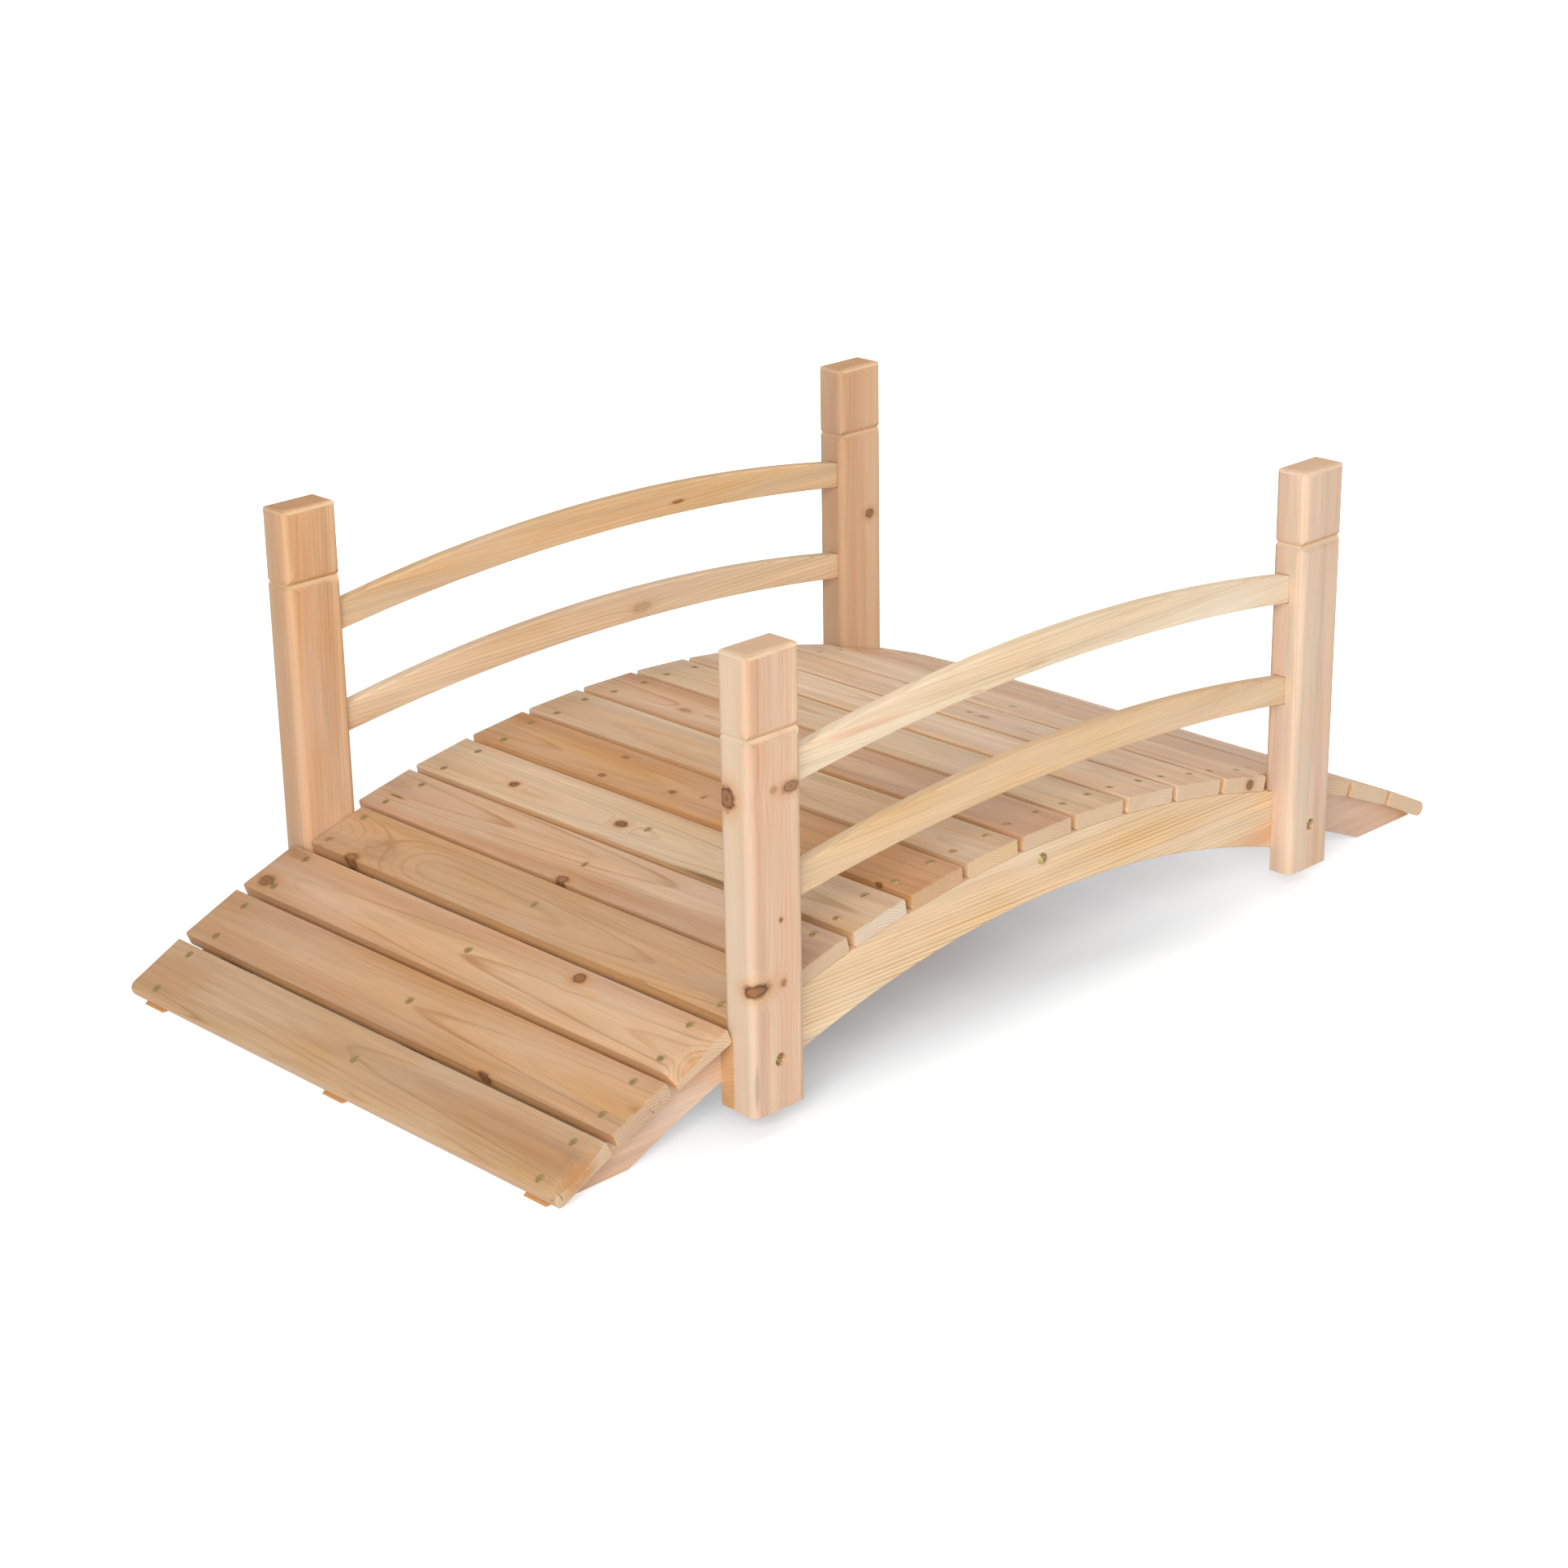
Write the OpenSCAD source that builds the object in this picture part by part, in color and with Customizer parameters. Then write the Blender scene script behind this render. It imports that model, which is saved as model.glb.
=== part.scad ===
// Small arched garden bridge in softwood: a deck of crosswise boards on three sawn
// stringers, an arch board on each side, four posts and two curved rails on each side.
// Millimetres. X runs along the walkway, Y across it, Z up from the ground.

/* [Deck boards] */
// Width of one deck board along the walkway
board_w = 67; // [62:0.5:70]
// Open joint between two deck boards
board_gap = 7; // [5:0.5:10]
// Thickness of a deck board
board_t = 16; // [13:0.5:19]
// Length of a full deck board, flush with the outer faces of the arch boards
deck_width = 608; // [560:1:660]
// Rounding of the upper long edges
board_round = 4; // [2:0.5:6]
// Rounding of the lower long edges
board_round_low = 2.5; // [1:0.5:4]
// Rounding of the two outermost edges of the deck, where one steps on
step_round = 7.5; // [4:0.5:7.5]
// Shift of the boards between the posts toward the crest
post_board_shift = 3; // [0:0.5:4]
// Clearance between the end of such a board and the post
board_clear = 1; // [0.3:0.1:3]

/* [Stringers] */
// Radius of the curve on which the boards lie
stringer_r = 1294; // [1270:1:1320]
// Height of that curve above the ground at the crest
stringer_crest = 149.5; // [148:0.5:156]
// Depth of a stringer, square to the curve
stringer_d = 40; // [34:0.5:46]
// Thickness of a stringer
stringer_t = 29; // [22:0.5:36]
// Height of the blunt nose at each end of a stringer
nose_h = 1; // [0.5:0.1:3]

/* [Arch boards] */
// Thickness of an arch board
arch_t = 16; // [12:0.5:19]
// Depth of an arch board at the crest
arch_d = 51.5; // [46:0.5:56]
// Radius of its lower edge
arch_low_r = 1100; // [1060:5:1140]
// Easing of the lower edges
arch_ease = 1.5; // [0.5:0.5:3]

/* [Posts] */
// Distance of a post's middle from the crest
post_x = 371.5; // [371:0.1:372]
// Width of a post along the walkway
post_w = 63; // [58:0.5:63]
// Thickness of a post
post_t = 37; // [32:0.5:40]
// Depth to which a post is rebated over the arch board
rebate_d = 12; // [10:0.5:13]
// Height of a post's top above the ground
post_top = 435; // [400:1:480]
// Height of a post's foot above the ground
post_foot = 20; // [16:0.5:21]
// Rounding of the upright edges
post_round = 8; // [4:0.5:10]
// Rounding of the top edges
post_top_round = 7; // [4:0.5:10]
// Distance of the V groove below the top
groove_drop = 74; // [66:1:80]
// Width of the V groove
groove_w = 13.5; // [10:0.5:15]
// Depth of the groove in the broad faces
groove_d = 4.5; // [2:0.5:5]
// Depth of the groove in the narrow faces
groove_side_d = 2.5; // [1:0.5:4]
// Play of the arch board in its rebate in the post
rebate_clear = 0.3; // [0.1:0.1:1]

/* [Rails] */
// Distance of a rail's middle from the inner face of a post
rail_in = 15; // [12:0.5:20]
// Thickness of a rail
rail_t = 13.5; // [12:0.5:22]
// Depth of a rail at the crest
rail_d = 33; // [26:0.5:36]
// Height of the upper rail's top edge at the crest
rail_crest = 359; // [350:0.5:366]
// Step from the lower rail up to the upper rail
rail_step = 104; // [96:0.5:112]
// Radius of the top edge of a rail
rail_top_r = 2040; // [1950:10:2140]
// Radius of the bottom edge of a rail
rail_low_r = 2470; // [2390:10:2560]
// Easing of the rail's long edges
rail_ease = 2; // [1:0.5:3]
// Length of the rail's end in the mortise
tenon_len = 14; // [8:1:20]
// Play around the rail's end in the mortise
mortise_clear = 0.4; // [0.2:0.1:1]

/* [Bolt recesses] */
// Diameter of the round recess for the bolt head in a post
recess_d = 12; // [9:0.5:16]
// Depth of the recess
recess_depth = 5; // [3:0.5:8]
// Height of the recess above the ground
recess_z = 67; // [60:0.5:74]

/* [Hidden] */
$fn = 48;
arc_fn = 360;
crest_board = 9;
step_a = (board_w + board_gap) / stringer_r * 180 / PI;
hub_z = stringer_crest - stringer_r;
side_y = deck_width / 2;
stringer_y = side_y - arch_t - stringer_t / 2;
arch_y = side_y - arch_t / 2;
arch_half = post_x + post_w / 2;
clear_width = deck_width - 2 * rebate_d;
post_y = clear_width / 2 + post_t / 2;
post_out_y = clear_width / 2 + post_t;
rail_y = clear_width / 2 + rail_in;
rail_half = post_x - post_w / 2 + tenon_len;
post_board = 4;
seat_a = (post_board - crest_board) * step_a;
last_a = (1 - crest_board) * step_a;
big = 2000;

WOOD = [0.86, 0.71, 0.55];
RAIL_WOOD = [0.91, 0.76, 0.56];

// A point at a radius and an angle from the hub of the deck's curve
function on_arc(r, a) = [r * sin(a), hub_z + r * cos(a)];

// Height of a board's seat, a flat square to the radius at angle a, at a given x
function seat_z(a, x) = hub_z + (stringer_r - x * sin(a)) / cos(a);

// Where the flat of the outermost board comes down to a given height
function seat_x(a, z) = (stringer_r - (z - hub_z) * cos(a)) / sin(a);

// Corners between the flats for the boards, from the front to the rear
function seat_corners() = [
    for (k = [1.5 - crest_board : 1 : crest_board - 1.5])
        on_arc(stringer_r / cos(step_a / 2), k * step_a)
];

// Upright drawing in X and Z, given a thickness across the walkway
module across(t) {
    rotate([90, 0, 0])
        linear_extrude(height = t, center = true)
            children();
}

// What a rounding of radius r takes off a square corner at the origin
module corner_waste(r) {
    if (r > 0)
        difference() {
            translate([-1, -1])
                square(r + 1);
            translate([r, r])
                circle(r);
        }
}

// Rectangle with its own rounding at each corner: lower left, lower right, upper right, upper left
module rounded_plate(w, h, r) {
    difference() {
        translate([-w / 2, 0])
            square([w, h]);
        translate([-w / 2, 0])
            corner_waste(r[0]);
        translate([w / 2, 0])
            mirror([1, 0])
                corner_waste(r[1]);
        translate([w / 2, h])
            mirror([1, 0])
                mirror([0, 1])
                    corner_waste(r[2]);
        translate([-w / 2, h])
            mirror([0, 1])
                corner_waste(r[3]);
    }
}

// One deck board on its flat; the first and the last have a strongly rounded outer edge,
// the boards between the posts are shorter
module deck_board(i) {
    a = (i - crest_board) * step_a;
    first = i == 1;
    last = i == 2 * crest_board - 1;
    front_post = i == post_board;
    rear_post = i == 2 * crest_board - post_board;
    shift = front_post ? post_board_shift : (rear_post ? -post_board_shift : 0);
    len = front_post || rear_post ? clear_width - 2 * board_clear : deck_width;
    low = board_round_low;
    top = board_round;
    edges = [
        first ? step_round : low,
        last ? step_round : low,
        last ? step_round : top,
        first ? step_round : top
    ];
    p = on_arc(stringer_r, a);
    color(WOOD)
        translate([p[0], 0, p[1]])
            rotate([0, a, 0])
                translate([shift, 0, 0])
                    across(len)
                        rounded_plate(board_w, board_t, edges);
}

// Side view of the curve of flats, down to the ground
module seat_outline() {
    tip = seat_x(last_a, nose_h);
    polygon(concat(
        [[tip, 0], [tip, nose_h]],
        seat_corners(),
        [[-tip, nose_h], [-tip, 0]]
    ));
}

// Sawn stringer: flats for the boards above, a curve parallel to them below,
// and at each end a level foot running out to a blunt nose
module stringer(y) {
    color(WOOD)
        translate([0, y, 0])
            across(stringer_t)
                difference() {
                    seat_outline();
                    translate([0, hub_z])
                        circle(stringer_r - stringer_d, $fn = arc_fn);
                }
}

// Rings that ease the two long edges on a curve of radius r of a board of thickness t;
// side is 1 where the wood lies inside the curve and -1 where it lies outside
module ease_rings(r, t, ease, side) {
    m = 1;
    rotate([90, 0, 0])
        rotate_extrude($fn = arc_fn)
            for (s = [-1, 1])
                polygon([
                    [r - side * (ease + m), s * (t / 2 + m)],
                    [r + side * m, s * (t / 2 + m)],
                    [r + side * m, s * (t / 2 - ease - m)]
                ]);
}

// Arch board: the same flats above, a flatter curve below, its ends flush with the posts
module arch_board(side) {
    low_hub = stringer_crest - arch_d - arch_low_r;
    color(RAIL_WOOD)
        translate([0, side * arch_y, 0])
            difference() {
                across(arch_t)
                    difference() {
                        intersection() {
                            seat_outline();
                            translate([-arch_half, 0])
                                square([2 * arch_half, big]);
                        }
                        translate([0, low_hub])
                            circle(arch_low_r, $fn = arc_fn);
                    }
                translate([0, 0, low_hub])
                    ease_rings(arch_low_r, arch_t, arch_ease, -1);
            }
}

// Bar of a post with rounded upright and top edges, standing at the origin's plan position
module post_bar() {
    h = post_top - post_foot;
    intersection() {
        translate([0, -post_t / 2, post_foot])
            linear_extrude(height = h)
                rounded_plate(post_w, post_t, [post_round, post_round, post_round, post_round]);
        translate([0, 0, post_foot])
            across(post_t + 2)
                rounded_plate(post_w, h, [0, 0, post_top_round, post_top_round]);
        translate([0, 0, post_foot])
            rotate([0, 0, 90])
                across(post_w + 2)
                    rounded_plate(post_t, h, [0, 0, post_top_round, post_top_round]);
    }
}

// Prism that cuts a V of a width and depth into a face lying in the plane y = 0
module v_cut(len, w, d) {
    flare = w / 2 / d;
    rotate([90, 0, 90])
        linear_extrude(height = len, center = true)
            polygon([[1, -w / 2 - flare], [1, w / 2 + flare], [-d, 0]]);
}

// V groove around the post below its top
module groove() {
    translate([0, 0, post_top - groove_drop]) {
        for (s = [0, 180])
            rotate([0, 0, s])
                translate([0, post_t / 2, 0])
                    v_cut(post_w + 2, groove_w, groove_d);
        for (s = [90, 270])
            rotate([0, 0, s])
                translate([0, post_w / 2, 0])
                    v_cut(post_t + 2, groove_w, groove_side_d);
    }
}

// Side view of a rail with its top edge at a height, grown all round by an amount
module rail_outline(z_top, grow) {
    half = rail_half + grow;
    intersection() {
        translate([0, z_top - rail_top_r])
            circle(rail_top_r + grow, $fn = arc_fn);
        difference() {
            translate([-half, 0])
                square([2 * half, big]);
            translate([0, z_top - rail_d - rail_low_r])
                circle(rail_low_r - grow, $fn = arc_fn);
        }
    }
}

// Space a rail's end takes up in the post, with its play
module mortise(z_top) {
    across(rail_t + 2 * mortise_clear)
        rail_outline(z_top, mortise_clear);
}

// Rebate in the inner face of a post: the arch board lies in it under a sloping shoulder
module rebate() {
    c = rebate_clear;
    x1 = -post_x - post_w;
    x2 = -post_x + post_w;
    depth = post_t + 20;
    translate([0, -side_y - c + depth / 2, 0])
        across(depth)
            polygon([
                [x1, 0],
                [x2, 0],
                [x2, seat_z(seat_a, x2) + c],
                [x1, seat_z(seat_a, x1) + c]
            ]);
}

// Front right post as the pattern for all four
module post_pattern() {
    difference() {
        translate([-post_x, -post_y, 0])
            difference() {
                post_bar();
                groove();
            }
        rebate();
        translate([0, -rail_y, 0]) {
            mortise(rail_crest);
            mortise(rail_crest - rail_step);
        }
        translate([-post_x, -post_out_y - 1, recess_z])
            rotate([-90, 0, 0])
                cylinder(d = recess_d, h = recess_depth + 1);
    }
}

module post(front, right) {
    color(WOOD)
        mirror([front ? 0 : 1, 0, 0])
            mirror([0, right ? 0 : 1, 0])
                post_pattern();
}

// Sawn rail: top and bottom edges on their own curves, all four long edges eased
module rail(side, z_top) {
    top_hub = z_top - rail_top_r;
    low_hub = z_top - rail_d - rail_low_r;
    color(RAIL_WOOD)
        translate([0, side * rail_y, 0])
            difference() {
                across(rail_t)
                    rail_outline(z_top, 0);
                translate([0, 0, top_hub])
                    ease_rings(rail_top_r, rail_t, rail_ease, 1);
                translate([0, 0, low_hub])
                    ease_rings(rail_low_r, rail_t, rail_ease, -1);
            }
}

module deck_board_01() { deck_board(1); }
module deck_board_02() { deck_board(2); }
module deck_board_03() { deck_board(3); }
module deck_board_04() { deck_board(4); }
module deck_board_05() { deck_board(5); }
module deck_board_06() { deck_board(6); }
module deck_board_07() { deck_board(7); }
module deck_board_08() { deck_board(8); }
module deck_board_09() { deck_board(9); }
module deck_board_10() { deck_board(10); }
module deck_board_11() { deck_board(11); }
module deck_board_12() { deck_board(12); }
module deck_board_13() { deck_board(13); }
module deck_board_14() { deck_board(14); }
module deck_board_15() { deck_board(15); }
module deck_board_16() { deck_board(16); }
module deck_board_17() { deck_board(17); }
module left_stringer() { stringer(stringer_y); }
module middle_stringer() { stringer(0); }
module right_stringer() { stringer(-stringer_y); }
module left_arch_board() { arch_board(1); }
module right_arch_board() { arch_board(-1); }
module front_left_post() { post(true, false); }
module front_right_post() { post(true, true); }
module rear_left_post() { post(false, false); }
module rear_right_post() { post(false, true); }
module left_upper_rail() { rail(1, rail_crest); }
module left_lower_rail() { rail(1, rail_crest - rail_step); }
module right_upper_rail() { rail(-1, rail_crest); }
module right_lower_rail() { rail(-1, rail_crest - rail_step); }

deck_board_01();
deck_board_02();
deck_board_03();
deck_board_04();
deck_board_05();
deck_board_06();
deck_board_07();
deck_board_08();
deck_board_09();
deck_board_10();
deck_board_11();
deck_board_12();
deck_board_13();
deck_board_14();
deck_board_15();
deck_board_16();
deck_board_17();
left_stringer();
middle_stringer();
right_stringer();
left_arch_board();
right_arch_board();
front_left_post();
front_right_post();
rear_left_post();
rear_right_post();
left_upper_rail();
left_lower_rail();
right_upper_rail();
right_lower_rail();
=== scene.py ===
import math
import random

import bpy
from mathutils import Matrix, Vector


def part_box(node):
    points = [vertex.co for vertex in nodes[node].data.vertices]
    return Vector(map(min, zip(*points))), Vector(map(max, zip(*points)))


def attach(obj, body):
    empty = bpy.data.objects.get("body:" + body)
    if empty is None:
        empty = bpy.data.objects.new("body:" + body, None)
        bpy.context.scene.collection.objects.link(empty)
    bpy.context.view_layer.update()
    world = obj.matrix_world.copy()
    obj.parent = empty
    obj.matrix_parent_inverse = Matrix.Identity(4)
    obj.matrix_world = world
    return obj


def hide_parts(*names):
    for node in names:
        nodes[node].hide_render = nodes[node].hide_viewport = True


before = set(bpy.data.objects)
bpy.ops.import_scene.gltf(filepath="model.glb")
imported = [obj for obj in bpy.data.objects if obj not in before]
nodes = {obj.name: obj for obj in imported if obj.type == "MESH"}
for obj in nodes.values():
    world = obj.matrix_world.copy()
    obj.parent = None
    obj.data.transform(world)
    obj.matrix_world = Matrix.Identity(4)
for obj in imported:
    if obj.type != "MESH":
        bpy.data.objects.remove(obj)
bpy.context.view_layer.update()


# Stringers: three curved bearers sawn out of pinkish fir plank, with a flat for each board
# above and level feet at the ends. They stand on the ground and the deck is screwed to them.
MM = 0.001


def linear(hex_colour):
    """The linear colour of an sRGB hex value."""
    channels = [int(hex_colour[k:k + 2], 16) / 255 for k in (1, 3, 5)]
    straight = [c / 12.92 if c <= 0.04045 else ((c + 0.055) / 1.055) ** 2.4 for c in channels]
    return tuple(straight) + (1.0,)


def add(tree, kind, inputs=None, **settings):
    """Adds a node with its settings; each input is a value, an output socket, or a node, which
    stands for its first output."""
    made = tree.nodes.new(kind)
    for key, value in settings.items():
        setattr(made, key, value)
    for key, value in (inputs or {}).items():
        if isinstance(value, bpy.types.Node):
            value = value.outputs[0]
        if isinstance(value, bpy.types.NodeSocket):
            tree.links.new(value, made.inputs[key])
        else:
            made.inputs[key].default_value = value
    return made


def turned(x_axis, y_axis, z_axis):
    """Euler angles of a frame whose axes point along three world directions."""
    return Matrix((x_axis, y_axis, z_axis)).transposed().to_euler()


def softwood(name, place, turn, grain, wood, pith, lean=(0.0, 0.0), knots=(), stains_and_painted_light=(),
             sawn=0.0, seed=1):
    """Growth rings round a pith outside the piece, cut by its faces: arches on a broad face,
    lines on a narrow one, arcs on an end. The piece's own frame has its grain along Y, in mm.
    A knot is its middle, its three half sizes and its depth of tone; a stain or a patch of painted light or
    shade has a colour too.
    The eye gets pale bands with thin darker lines, a silky fibre and dull sawn ends."""
    material = bpy.data.materials.new(name)
    material.use_nodes = True
    tree = material.node_tree
    tree.nodes.clear()
    where = add(tree, "ShaderNodeTexCoord")
    own = add(tree, "ShaderNodeMapping", {"Vector": where.outputs["Object"], "Location": place,
              "Rotation": turn, "Scale": (MM, MM, MM)}, vector_type="TEXTURE").outputs[0]

    def apart(x, y, z, across, along, through):
        """How far a point lies from the middle of a spot, counted in the spot's half sizes."""
        away = add(tree, "ShaderNodeVectorMath", {0: own, 1: (x, y, z)}, operation="SUBTRACT")
        shape = add(tree, "ShaderNodeVectorMath", {0: away,
                    1: (1 / across, 1 / along, 1 / through)}, operation="MULTIPLY")
        return add(tree, "ShaderNodeVectorMath", {0: shape}, operation="LENGTH").outputs["Value"]

    # The trunk was not straight: the rings sway slowly along the grain
    slow = add(tree, "ShaderNodeVectorMath", {0: own, 1: (1 / 110, 1 / 520, 1 / 110)},
               operation="MULTIPLY")
    sway = add(tree, "ShaderNodeTexNoise", {"Vector": slow, "W": seed * 7.31, "Scale": 1.0,
               "Detail": 2.0, "Roughness": 0.45}, noise_dimensions="4D")
    centred = add(tree, "ShaderNodeVectorMath", {0: sway.outputs["Color"], 1: (0.5, 0.5, 0.5)},
                  operation="SUBTRACT")
    bent = add(tree, "ShaderNodeVectorMath", {0: centred, 1: wood["sway"], 2: own},
               operation="MULTIPLY_ADD")
    heart = add(tree, "ShaderNodeMapping", {"Vector": bent, "Location": (-pith[0], 0, -pith[1]),
                "Rotation": (math.radians(lean[0]), 0, math.radians(lean[1]))}, vector_type="POINT")
    section = add(tree, "ShaderNodeVectorMath", {0: heart, 1: (1, 0, 1)}, operation="MULTIPLY")
    grown = add(tree, "ShaderNodeVectorMath", {0: section}, operation="LENGTH").outputs["Value"]

    # Round a knot the rings swell aside, and its own edge is ragged by about 4.5 mm
    ragged = add(tree, "ShaderNodeTexNoise", {"Vector": own, "Scale": 0.22, "Detail": 2.0})
    spots = []
    for x, y, z, across, along, through, depth in knots:
        far = apart(x, y, z, across, along, through)
        square = add(tree, "ShaderNodeMath", {0: far, 1: far}, operation="MULTIPLY")
        less = add(tree, "ShaderNodeMath", {0: square, 1: -0.22}, operation="MULTIPLY")
        fade = add(tree, "ShaderNodeMath", {0: less}, operation="EXPONENT")
        grown = add(tree, "ShaderNodeMath", {0: fade, 1: 0.9 * across, 2: grown},
                    operation="MULTIPLY_ADD").outputs[0]
        edge = add(tree, "ShaderNodeMath", {0: ragged.outputs["Fac"], 1: 0.7, 2: far},
                   operation="MULTIPLY_ADD")
        spots.append((edge, depth))

    # Blotches, long streaks and fibres drawn out along the grain, as width and length in mm; real
    # fibres are far finer, and these are as fine as the picture can show
    drawn = []
    for across, along, detail, shift in ((45, 190, 3.0, 2.9), (11, 330, 2.0, 3.9), (1.3, 60, 3.0, 1.7)):
        size = add(tree, "ShaderNodeVectorMath", {0: own, 1: (1 / across, 1 / along, 1 / across)},
                   operation="MULTIPLY")
        drawn.append(add(tree, "ShaderNodeTexNoise", {"Vector": size, "W": seed * shift,
                         "Scale": 1.0, "Detail": detail, "Roughness": 0.55}, noise_dimensions="4D"))
    blotch, streak, fibre = drawn

    # Wide and narrow rings, each a pale early band that darkens to a late line
    ring = wood["ring"]
    season = add(tree, "ShaderNodeMath", {0: grown, 1: 1 / (3.4 * ring), 2: seed * 5.7},
                 operation="MULTIPLY_ADD")
    uneven = add(tree, "ShaderNodeTexNoise", {"W": season, "Scale": 1.0, "Detail": 1.0},
                 noise_dimensions="1D")
    years = add(tree, "ShaderNodeMath", {0: grown, 1: 1 / ring, 2: uneven.outputs["Fac"]},
                operation="MULTIPLY_ADD")
    phase = add(tree, "ShaderNodeMath", {0: years}, operation="FRACT")
    year = add(tree, "ShaderNodeMath", {0: years}, operation="FLOOR")
    rise = add(tree, "ShaderNodeMapRange", {"Value": phase, "From Min": wood.get("fine", 0.45),
               "From Max": 0.9}, interpolation_type="SMOOTHSTEP")
    fall = add(tree, "ShaderNodeMapRange", {"Value": phase, "From Min": 0.9, "From Max": 1.0,
               "To Min": 1.0, "To Max": 0.0}, interpolation_type="SMOOTHSTEP")
    chance = add(tree, "ShaderNodeTexWhiteNoise", {"W": year}, noise_dimensions="1D")
    weight = add(tree, "ShaderNodeMapRange", {"Value": chance.outputs["Value"],
                 "To Min": 0.25 * wood["line"], "To Max": wood["line"]})
    both = add(tree, "ShaderNodeMath", {0: rise, 1: fall}, operation="MULTIPLY")
    clear = add(tree, "ShaderNodeMapRange", {"Value": blotch.outputs["Fac"], "From Min": 0.38,
                "From Max": 0.6, "To Min": 0.3})
    plain = add(tree, "ShaderNodeMath", {0: both, 1: weight}, operation="MULTIPLY")
    line = add(tree, "ShaderNodeMath", {0: plain, 1: clear}, operation="MULTIPLY")
    surface = add(tree, "ShaderNodeNewGeometry")
    along_grain = add(tree, "ShaderNodeVectorMath", {0: surface.outputs["Normal"], 1: grain},
                      operation="DOT_PRODUCT")
    facing = add(tree, "ShaderNodeMath", {0: along_grain.outputs["Value"]}, operation="ABSOLUTE")
    end = add(tree, "ShaderNodeMapRange", {"Value": facing, "From Min": 0.7, "From Max": 0.95},
              interpolation_type="SMOOTHSTEP")

    # Bands of many rings, rosier toward the heart
    band = add(tree, "ShaderNodeMath", {0: grown, 1: 1 / wood["band"], 2: seed * 3.17},
               operation="MULTIPLY_ADD")
    zone = add(tree, "ShaderNodeTexNoise", {"W": band, "Scale": 1.0, "Detail": 1.0},
               noise_dimensions="1D")
    rosy = add(tree, "ShaderNodeMapRange", {"Value": zone.outputs["Fac"], "From Min": 0.34, "From Max": 0.66},
               interpolation_type="SMOOTHSTEP")
    body = add(tree, "ShaderNodeMix", {0: rosy, 6: linear(wood["early"]), 7: linear(wood["rosy"])},
               data_type="RGBA")
    lined = add(tree, "ShaderNodeMix", {0: line, 6: body.outputs[2], 7: linear(wood["late"])},
                data_type="RGBA")
    depth_of_tone = add(tree, "ShaderNodeMapRange", {"Value": blotch.outputs["Fac"], "From Min": 0.3,
                        "From Max": 0.7, "To Min": 0.88, "To Max": 1.14})
    sheen_of_fibre = add(tree, "ShaderNodeMapRange", {"Value": fibre.outputs["Fac"], "From Min": 0.3,
                         "From Max": 0.7, "To Min": 0.91, "To Max": 1.07})
    sheen_of_streak = add(tree, "ShaderNodeMapRange", {"Value": streak.outputs["Fac"], "From Min": 0.3,
                          "From Max": 0.7, "To Min": 0.88, "To Max": 1.09})
    sheen = add(tree, "ShaderNodeMath", {0: sheen_of_fibre, 1: sheen_of_streak}, operation="MULTIPLY")
    toned = add(tree, "ShaderNodeHueSaturation", {"Saturation": depth_of_tone,
                "Value": sheen, "Color": lined.outputs[2]})

    # Short dark dashes of resin along the fibres
    dash = add(tree, "ShaderNodeVectorMath", {0: own, 1: (1 / 1.6, 1 / 22, 1 / 1.6)}, operation="MULTIPLY")
    fleck = add(tree, "ShaderNodeTexNoise", {"Vector": dash, "W": seed * 4.3, "Scale": 1.0,
                "Detail": 1.0}, noise_dimensions="4D")
    dark = add(tree, "ShaderNodeMapRange", {"Value": fleck.outputs["Fac"], "From Min": 0.68, "From Max": 0.82,
               "To Max": 0.35}, interpolation_type="SMOOTHSTEP")
    flecked = add(tree, "ShaderNodeMix", {0: dark, 6: toned, 7: linear(wood["late"])}, data_type="RGBA")

    # A sawn end is duller and shows the rings as plain arcs
    arcs = add(tree, "ShaderNodeMath", {0: both, 1: 0.6}, operation="MULTIPLY")
    dull = add(tree, "ShaderNodeMix", {0: arcs, 6: linear(wood["end"]), 7: linear(wood["late"])},
               data_type="RGBA")
    cut = add(tree, "ShaderNodeMath", {0: end, 1: 0.75}, operation="MULTIPLY")
    ends = add(tree, "ShaderNodeMix", {0: cut, 6: flecked.outputs[2], 7: dull.outputs[2]},
               data_type="RGBA")
    colour = ends.outputs[2]

    # Painted light and shade on sloped faces, used on the posts, whose grain runs upright: paler where a
    # slope faces up, tan where it faces down
    for sign, tint in zip((1, -1), wood.get("slope_light_and_shade", ())):
        tilt = add(tree, "ShaderNodeMath", {0: along_grain.outputs["Value"], 1: sign}, operation="MULTIPLY")
        slope = add(tree, "ShaderNodeMapRange", {"Value": tilt, "From Min": 0.2, "From Max": 0.42,
                    "To Max": 0.8}, interpolation_type="SMOOTHSTEP")
        inner = add(tree, "ShaderNodeMapRange", {"Value": tilt, "From Min": 0.6, "From Max": 0.8,
                    "To Min": 1.0, "To Max": 0.0}, interpolation_type="SMOOTHSTEP")
        painted_slope_light = add(tree, "ShaderNodeMath", {0: slope, 1: inner}, operation="MULTIPLY")
        colour = add(tree, "ShaderNodeMix", {0: painted_slope_light, 6: colour, 7: linear(tint)},
                     data_type="RGBA").outputs[2]
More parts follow.
